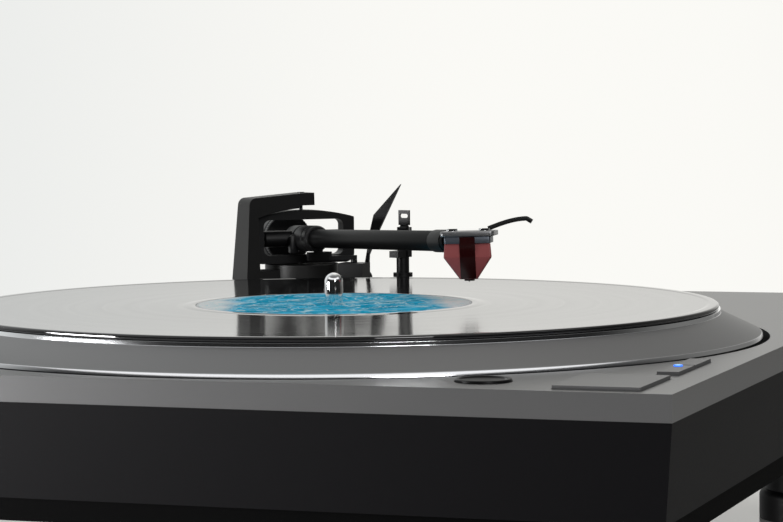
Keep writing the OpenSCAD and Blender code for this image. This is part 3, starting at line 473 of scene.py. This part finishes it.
# Small blue light under a clear cap
glow = Paint("blueLight", Roughness=0.2, Emission_Strength=2.2)
gx, gy = glow.place.parts()[:2]
glowLow, glowHigh = nodeBox("speed_light")
glowCentre = (glowLow + glowHigh) * 0.5 * mm
spread = ((gx - glowCentre[0]) ** 2.0 + (gy - glowCentre[1]) ** 2.0) ** 0.5
glow.put(
    Base_Color=rgba((0.03, 0.12, 0.4)),
    Emission_Color=spread.ramp(0.0002, 0.0017).blend(rgba((0.25, 0.55, 1.0)), rgba((0.01, 0.10, 0.65))))
print("materials made")

# ---- CAD nodes that keep their shape ----
kept = {
    "plinth_body": (bodyBlack, 0.5), "top_plate": (plateGrey, 0.7), "base_board": (baseBlack, 0.5),
    "base_screws": (darkSteel, 0.1), "foot_stems": (footBlack, 0.4), "foot_pads": (footBlack, 0.0),
    "foot_screws": (steelGrey, 0.1), "bearing_housing": (bronze, 0.2), "bearing_screws": (steelGrey, 0.1),
    "thrust_pad": (whitePlastic, 0.1), "stator_core": (coreSteel, 0.1), "stator_coils": (copper, 0.4),
    "motor_board": (boardGreen, 0.1), "main_board": (boardGreen, 0.1), "power_board": (boardGreen, 0.1),
    "board_screws": (steelGrey, 0.1), "rear_panel": (panelBlack, 0.3), "rca_sockets": (gold, 0.15),
    "ground_terminal": (steelGrey, 0.2), "dc_inlet": (panelBlack, 0.2), "phono_switch": (whitePlastic, 0.2),
    "rotor_cup": (coreSteel, 0.2), "rotor_magnet": (magnetGrey, 0.2), "start_button": (keyGrey, 0.15),
    "speed_button_33": (keyGrey, 0.15), "speed_button_45": (keyGrey, 0.15), "speed_light": (glow, 0.2),
    "key_switches": (panelBlack, 0.1), "key_board": (boardGreen, 0.1), "tonearm_base": (armBlack, 0.5),
    "base_plate_screws": (darkSteel, 0.1), "bearing_frame": (frameBlack, 0.7),
    "upper_pivot_screw": (darkSteel, 0.1), "lower_pivot_screw": (darkSteel, 0.1),
    "gimbal_ring": (armBlack, 0.6), "ring_pivot_screws": (darkSteel, 0.1),
    "cartridge_screws": (chrome, 0.15), "cue_housing": (armBlack, 0.4), "lift_platform": (armBlack, 0.25),
    "cue_lever": (armBlack, 0.25), "anti_skate_post": (steelGrey, 0.1), "arm_rest": (armBlack, 0.25),
    "rest_clip": (armBlack, 0.2), "clip_pin": (steelGrey, 0.1),
}
for name, (paint, edge) in kept.items():
    node = frame["nodes"][name]
    node.data.materials.clear()
    node.data.materials.append(paint.material)
    if edge > 0.0:
        soft = node.modifiers.new("edges", "BEVEL")
        soft.width = edge * mm
        soft.segments = 3
        soft.limit_method = "ANGLE"
        soft.angle_limit = math.radians(40.0)
        soft.harden_normals = True
print("kept nodes painted")

# ---- platter, mat, record, label and spindle ----
platterSet = {"lip": 168.0, "lipTop": 167.4, "rim": 151.5, "coneLow": 94.9, "coneHigh": 102.5, "around": 720}
# The platter's cut, one closed outline: cone outside, recess for the mat on top, skirt and boss below.
platterCut = [
    (3.6, 88.2), (17.0, 88.2), (17.0, 96.0), (157.0, 96.0), (157.0, 87.0), (165.0, 87.0), (165.0, lipZ),
    (platterSet["lip"], lipZ), (platterSet["lipTop"], platterSet["coneLow"]),
    (platterSet["rim"], platterSet["coneHigh"]), (platterSet["rim"], rimZ),
    (148.4, rimZ), (148.4, rimZ - 3.0), (3.6, rimZ - 3.0)]
makeObject("platterMetal", *placed(lathe(platterCut, platterSet["around"], 0.16, True), atSpindle),
           platterPaint, "platter_group", "platter_metal", 24.0, ("platter",))

# Mat: shallow ribs, the height a wave of the radius.
matRadius = np.linspace(146.5, 6.0, 380)
matTop = rimZ - 0.12 - 0.1 * (1.0 + np.cos(matRadius * 2.0 * math.pi / 3.2))
matCut = [(3.9, rimZ - 3.0), (148.2, rimZ - 3.0), (148.2, rimZ - 0.1)]
matCut += list(zip(matRadius, matTop)) + [(3.9, rimZ - 0.1)]
makeObject("platterMat", *placed(lathe(matCut, 180, 0.0, True), atSpindle),
           rubberBlack, "platter_group", "mat_rubber", 40.0, ("platter_mat",))

# Record: raised rounded edge bead, lower groove band, raised land round the label.
recordCut = [
    (3.63, rimZ + 0.02), (150.3, rimZ + 0.02), (150.8, rimZ + 0.5), (150.8, recordTop - 0.5),
    (150.2, recordTop), (147.4, recordTop), (146.2, recordTop - 0.2), (60.0, recordTop - 0.2),
    (57.0, recordTop - 0.02), (54.6, recordTop), (54.5, recordTop - 0.3), (3.63, recordTop - 0.3)]
makeObject("recordDisc", *placed(lathe(recordCut, 720, 0.3, True), atSpindle),
           vinyl, "platter_group", "vinyl", 50.0, ("record",))
labelCut = [
    (3.65, recordTop - 0.3), (54.4, recordTop - 0.3), (54.4, recordTop - 0.02), (3.65, recordTop - 0.02)]
makeObject("labelDisc", *placed(lathe(labelCut, 360, 0.04, True), atSpindle),
           label, "platter_group", "label_paper", 50.0, ("record_label",))

# Spindle: straight pin whose top is a half circle turned about its axis.
spindleLow, spindleHigh = nodeBox("spindle")
pinRadius = 3.6
turnUp = np.linspace(0.0, math.pi / 2, 14)[:-1]
dome = [(pinRadius * math.cos(a), spindleHigh[2] - pinRadius + pinRadius * math.sin(a)) for a in turnUp]
pinCut = [(0.3, spindleLow[2]), (3.3, spindleLow[2]), (3.6, spindleLow[2] + 0.4)]
pinCut += dome + [(0.02, spindleHigh[2] - 0.001)]
makeObject("spindlePin", *placed(lathe(pinCut, 96), atSpindle),
           chrome, "platter_group", "polished_steel", 60.0, ("spindle",))
print("platter made")

# ---- controls ----
dialLow, dialHigh = nodeBox("power_dial")
dialCentre = (dialLow + dialHigh) * 0.5
# Dial: dished top and knurl-free edge.
dialCut = [
    (0.05, dialLow[2]), (3.0, dialLow[2]), (3.0, plateTop - 4.0), (9.5, plateTop - 4.0),
    (9.5, plateTop + 0.75), (9.25, dialHigh[2]), (8.2, dialHigh[2]), (7.7, dialHigh[2] - 0.6),
    (6.0, dialHigh[2] - 0.8), (0.05, dialHigh[2] - 0.8)]
makeObject("powerDial", *placed(lathe(dialCut, 128, 0.12), moved(dialCentre[0], dialCentre[1], 0.0)),
           dialBlack, "dial", "dial_black", 40.0, ("power_dial",))
skateLow, skateHigh = nodeBox("anti_skate_dial")
skateCentre = (skateLow + skateHigh) * 0.5
flute = 40
# Knurled dial: the radius is a small wave of the angle, forty waves round.
ringAngle = np.linspace(0.0, 2.0 * math.pi, flute * 8, endpoint=False)
skateRings = []
skateSteps = [
    (2.08, -4.0), (2.1, 0.0), (8.4, 0.0), (8.85, 0.4), (8.85, 5.6), (8.3, 6.5), (6.9, 6.5), (6.5, 6.2),
    (6.4, 5.4), (0.05, 5.4)]
for radius, z in skateSteps[1:]:
    wave = 0.12 * np.cos(ringAngle * flute) * (1.0 if radius > 8.6 else 0.0)
    ring = np.stack([(radius + wave) * np.cos(ringAngle), (radius + wave) * np.sin(ringAngle),
                     np.full_like(ringAngle, skateLow[2] + z)], -1)
    skateRings.append(ring)
skateShape = (np.concatenate(skateRings), gridFaces(len(skateRings), len(ringAngle), False, False, True))
makeObject("skateDial", *placed(skateShape, moved(skateCentre[0], skateCentre[1], 0.0)),
           dialBlack, "anti_skate", "dial_black", 35.0, ("anti_skate_dial",))
print("controls made")

# ---- arm ----
tubeRadius = 4.2
hubRadius = 6.0
stubRadius = 3.6
# Hub: collars and a stepped nose, turned about the arm's axis; heights run along the arm.
hubCut = [
    (0.05, -48.0), (3.1, -48.0), (stubRadius, -47.4), (stubRadius, -10.0), (5.4, -9.0),
    (hubRadius, -8.2), (hubRadius, 4.6), (5.6, 5.0), (5.6, 5.8), (hubRadius, 6.2), (hubRadius, 17.6),
    (5.75, 18.0), (5.75, 18.5), (hubRadius, 18.9), (hubRadius, 23.6), (5.5, 25.0), (4.3, 25.0),
    (4.3, 14.0), (0.05, 14.0)]
hub = placed(lathe(hubCut, 96, 0.12), alongArm)
shaftCut = [(0.05, -18.4), (3.3, -18.4), (3.8, -17.9), (3.8, 17.9), (3.3, 18.4), (0.05, 18.4)]
crossPin = placed(lathe(shaftCut, 64, 0.1), armFrame @ turnAbout("X", 90.0))
lugs = []
for side in (-1, 1):
    # Lug: a bar with a round top, standing across the arm beside the hub.
    around = np.linspace(0.0, math.pi, 17)
    outline = [(6.0 * side + 1.85 * math.cos(a), 1.85 * math.sin(a)) for a in around]
    outline += [(6.0 * side - 1.85, -6.3), (6.0 * side - 1.2, -7.0)]
    outline += [(6.0 * side + 1.2, -7.0), (6.0 * side + 1.85, -6.3)]
    lugTurn = turnAbout("Z", 90.0) @ turnAbout("X", 90.0)
    lugs.append(placed(slab(outline, 4.65, 8.55, 0.45), armFrame @ lugTurn))
makeObject("armHub", *join(hub, crossPin, *lugs), armBlack, "arm", "arm_black", 35.0, ("arm_hub",))
tubeCut = [(3.2, 14.5), (tubeRadius, 14.5), (tubeRadius, 201.0), (3.9, 201.5), (3.2, 201.5)]
makeObject("armTube", *placed(lathe(tubeCut, 96, 0.0, True), alongArm),
           tubeBlack, "arm", "tube_black", 40.0, ("arm_tube",))

# Counterweight: rounded shoulders and one turned groove.
weightBack = -48.4
weightCut = [
    (3.68, weightBack), (10.2, weightBack), (11.3, weightBack + 1.2), (11.3, weightBack + 8.0),
    (11.0, weightBack + 8.3), (11.0, weightBack + 8.9), (11.3, weightBack + 9.2), (11.3, weightBack + 22.9),
    (10.9, weightBack + 23.9), (3.68, weightBack + 23.9)]
makeObject("counterWeight", *placed(lathe(weightCut, 128, 0.3, True), alongArm),
           armBlack, "weight", "arm_black", 35.0, ("counterweight",))
# Force dial: the edge is a fine wave of the angle so that it can be gripped.
dialRings = []
angle = np.linspace(0, 2 * math.pi, 480, endpoint=False)
for radius, z in [(3.68, 0.0), (10.7, 0.0), (11.2, 0.5), (11.2, 3.4), (10.8, 3.9), (3.68, 3.9)]:
    wave = 0.08 * np.cos(angle * 60) * (1.0 if radius > 11 else 0.0)
    dialRings.append(np.stack([(radius + wave) * np.cos(angle), (radius + wave) * np.sin(angle),
                               np.full_like(angle, -24.0 + z)], -1))
forceShape = (np.concatenate(dialRings), gridFaces(6, 480, True))
makeObject("forceDial", *placed(forceShape, alongArm),
           dialBlack, "weight_dial", "dial_black", 35.0, ("force_dial",))
print("arm made")

# ---- headshell and cartridge ----
shellSet = {"low": 2.1, "high": 4.1, "width": 21.0, "back": -27.0, "front": 9.0}
# Headshell: plate with soft corners, and a black collar round the tube's end.
shellHalf = shellSet["width"] / 2
plateOutline = softRectangle(shellSet["back"], -shellHalf, shellSet["front"], shellHalf, 1.6)
shellPlate = placed(slab(plateOutline, shellSet["low"], shellSet["high"], 0.35), shellFrame)
makeObject("headShell", *shellPlate, shellGrey, "arm", "shell_grey", 35.0, ("headshell",))
collarCut = [(4.25, 185.5), (4.35, 185.5), (4.6, 185.8), (4.6, 199.2), (4.35, 199.5), (4.25, 199.5)]
collar = placed(lathe(collarCut, 96, 0.05, True), alongArm)
makeObject("shellCollar", *collar, tubeBlack, "arm", "tube_black", 35.0)

# Finger lift: a thin tapering blade swept along an arch that rises and levels out.
t = np.linspace(0.0, 1.0, 40)
liftY = 7.6 + 17.2 * t
liftZ = 4.9 + 3.6 * np.sin(np.minimum(t * 1.12, 1.0) * math.pi / 2) - 1.3 * np.maximum(t - 0.88, 0) / 0.12
liftPath = np.stack([np.full_like(t, -7.6), liftY, liftZ], -1)
liftSection = softRectangle(-2.3, -0.9, 2.3, 0.9, 0.6)
liftWidths = 1.0 - 0.35 * t
makeObject("fingerLift", *placed(sweep(liftPath, liftSection, liftWidths), shellFrame),
           armBlack, "arm", "arm_black", 40.0, ("finger_lift",))

# Mount between headshell and cartridge.
mount = slab(softRectangle(-16.0, -9.0, 8.0, 9.0, 0.8), -0.7, 2.1, 0.3)
makeObject("cartMount", *placed(mount, shellFrame), mountGrey, "arm", "cart_grey", 35.0, ("cartridge_mount",))

# Cartridge: rings of eight corners from the square top to the narrow foot, as a cut gem.
cartRings = [
    (-0.72, -16.0, 7.0, 9.0, 0.5), (-5.9, -16.0, 7.4, 9.4, 0.5), (-6.3, -16.0, 7.3, 9.3, 0.6),
    (-14.3, -13.6, 3.2, 3.75, 0.5), (-14.7, -13.4, 2.9, 3.55, 0.5)]
rows = []
for z, back, front, half, cut in cartRings:
    rear = half * 0.72
    rows.append([
        (front, -half + cut, z), (front, half - cut, z), (front - cut, half, z), (back + cut, rear, z),
        (back, rear - cut, z), (back, -rear + cut, z), (back + cut, -rear, z), (front - cut, -half, z)])
cartShape = (np.array(rows).reshape(-1, 3), gridFaces(len(rows), 8, False, True, True))
cartridge = makeObject("cartBody", *placed(cartShape, shellFrame),
                       cartRed, "arm", "cart_red", 20.0, ("cartridge_body",))
edges = cartridge.modifiers.new("edges", "BEVEL")
edges.width = 0.16 * mm
edges.segments = 3
edges.limit_method = "ANGLE"
edges.angle_limit = math.radians(14.0)
edges.harden_normals = True

# Stripe: a strip that follows the cartridge's front, slightly proud of it.
stripeLine = [(7.9, 1.9), (7.9, -0.7), (7.42, -5.9), (7.25, -6.4), (3.2, -14.25), (2.95, -14.6)]
stripePoints = []
for x, z in stripeLine:
    stripePoints.append([(x - 0.5, -3.1, z), (x + 0.16, -3.0, z), (x + 0.16, 3.0, z), (x - 0.5, 3.1, z)])
stripeShape = (np.array(stripePoints).reshape(-1, 3), gridFaces(len(stripeLine), 4, False, True, True))
makeObject("cartStripe", *placed(stripeShape, shellFrame), stripeRed, "arm", "cart_red", 25.0)

# Stylus: holder block, bent cantilever and a tiny cone.
holder = slab(softRectangle(-6.0, -2.0, -2.0, 2.0, 0.4), -15.5, -14.6, 0.2)
barPath = np.array([(-4.0, 0, -15.1), (-2.0, 0, -15.25), (-0.2, 0, -15.5)])
bar = sweep(barPath, softRectangle(-0.25, -0.25, 0.25, 0.25, 0.2))
tip = placed(lathe([(0.03, 0.0), (0.2, 0.4), (0.22, 0.6), (0.05, 0.62)], 24), moved(0, 0, -15.84))
makeObject("stylusTip", *placed(join(holder, bar, tip), shellFrame),
           stripeRed, "arm", "stylus_red", 40.0, ("stylus",))
print("cartridge made")

# ---- floor ----
floorMesh = bpy.data.meshes.new("floor")
floorRadius = 3.0
ringAngle = np.linspace(0.0, 2.0 * math.pi, 128, endpoint=False)
floorMesh.from_pydata([(floorRadius * math.cos(a), floorRadius * math.sin(a), 0.0) for a in ringAngle], [],
                      [list(range(128))])
floor = bpy.data.objects.new("floor", floorMesh)
scene.collection.objects.link(floor)
floorPaint = Paint("floorGloss", Roughness=0.14, Specular_IOR_Level=0.5)
floorPaint.put(Base_Color=rgba((0.72, 0.71, 0.69)))
fx, fy = floorPaint.place.parts()[:2]
far = ((fx ** 2.0 + fy ** 2.0) ** 0.5).ramp(0.75, 1.35)
floorPaint.put(Alpha=1.0 - far)
floorMesh.materials.append(floorPaint.material)

# ---- light ----
lightSet = {
    "leftTone": (0.790, 0.807, 0.799), "rightTone": (0.962, 0.955, 0.920),
    "ceiling": 0.17, "behindCamera": 0.016, "rightDim": 0.18, "band": 1.0, "bandHeight": 0.63,
}
world = bpy.data.worlds.new("studio")
scene.world = world
world.use_nodes = True
worldTree = world.node_tree
coords = worldTree.nodes.new("ShaderNodeTexCoord")
direction = Wire(worldTree, coords.outputs["Generated"])
ahead = direction.vectorMaths("DOT_PRODUCT", tuple(forward), 1)
across = direction.vectorMaths("DOT_PRODUCT", tuple(rightward), 1)
dz = direction.parts()[2]
# Backdrop: cooler and dimmer to the left, and ending beyond the right edge of the view.
backdrop = across.ramp(-0.22, 0.06).blend(rgba(lightSet["leftTone"]), rgba(lightSet["rightTone"]))
dimRight = [c * lightSet["rightDim"] for c in lightSet["rightTone"]]
backdrop = across.ramp(0.12, 0.6).blend(backdrop, rgba(dimRight))
front = ahead.ramp(-0.25, 0.55)
roof = dz.ramp(0.15, 0.9)
dim = roof.blend(rgba([lightSet["behindCamera"]] * 3), rgba([lightSet["ceiling"]] * 3))
# A long strip light above and behind the camera, which the platter's polished lip mirrors.
strip = (1.0 - (dz - lightSet["bandHeight"]).size().ramp(0.10, 0.16)) * (1.0 - ahead.ramp(-0.1, 0.2))
dim = strip.blend(dim, rgba([lightSet["band"]] * 3))
tone = front.blend(dim, backdrop)
background = worldTree.nodes["Background"]
worldTree.links.new(tone.socket, background.inputs["Color"])
background.inputs["Strength"].default_value = 1.0


def softBox(name, place, target, width, height, power, color=(1.0, 1.0, 1.0)):
    data = bpy.data.lights.new(name, "AREA")
    data.shape = "RECTANGLE"
    data.size = width
    data.size_y = height
    data.energy = power
    data.color = color
    lamp = bpy.data.objects.new(name, data)
    aim = (Vector(target) - Vector(place)).to_track_quat("-Z", "Y")
    lamp.matrix_world = Matrix.Translation(Vector(place)) @ aim.to_matrix().to_4x4()
    scene.collection.objects.link(lamp)


softBox("leftNear", (-0.55, 0.6, 0.05), (-0.2, 0.15, 0.07), 0.3, 0.09, 5.2)
softBox("leftFar", (-0.75, 0.95, 0.05), (-0.2, 0.1, 0.07), 0.5, 0.09, 4.0)
softBox("frontKey", (-1.0, -0.8, 0.55), (0.0, 0.0, 0.12), 0.35, 0.35, 4.0)

# Flag: an unseen card behind the plinth that keeps part of the low left lamps' light off the arm.
flagMesh = bpy.data.meshes.new("flag")
flagSet = {"left": -0.42, "right": -0.03, "back": 0.2, "low": 0.1, "high": 0.4}
flagCorners = [
    (flagSet["left"], flagSet["back"], flagSet["low"]), (flagSet["right"], flagSet["back"], flagSet["low"]),
    (flagSet["right"], flagSet["back"], flagSet["high"]), (flagSet["left"], flagSet["back"], flagSet["high"])]
flagMesh.from_pydata(flagCorners, [], [(0, 1, 2, 3)])
flag = bpy.data.objects.new("flag", flagMesh)
scene.collection.objects.link(flag)
flagPaint = Paint("flagBlack", Base_Color=rgba((0.0, 0.0, 0.0)), Roughness=1.0, Specular_IOR_Level=0.0)
flagMesh.materials.append(flagPaint.material)
flag.visible_camera = False
flag.visible_glossy = False
flag.visible_diffuse = False
print("lights set")
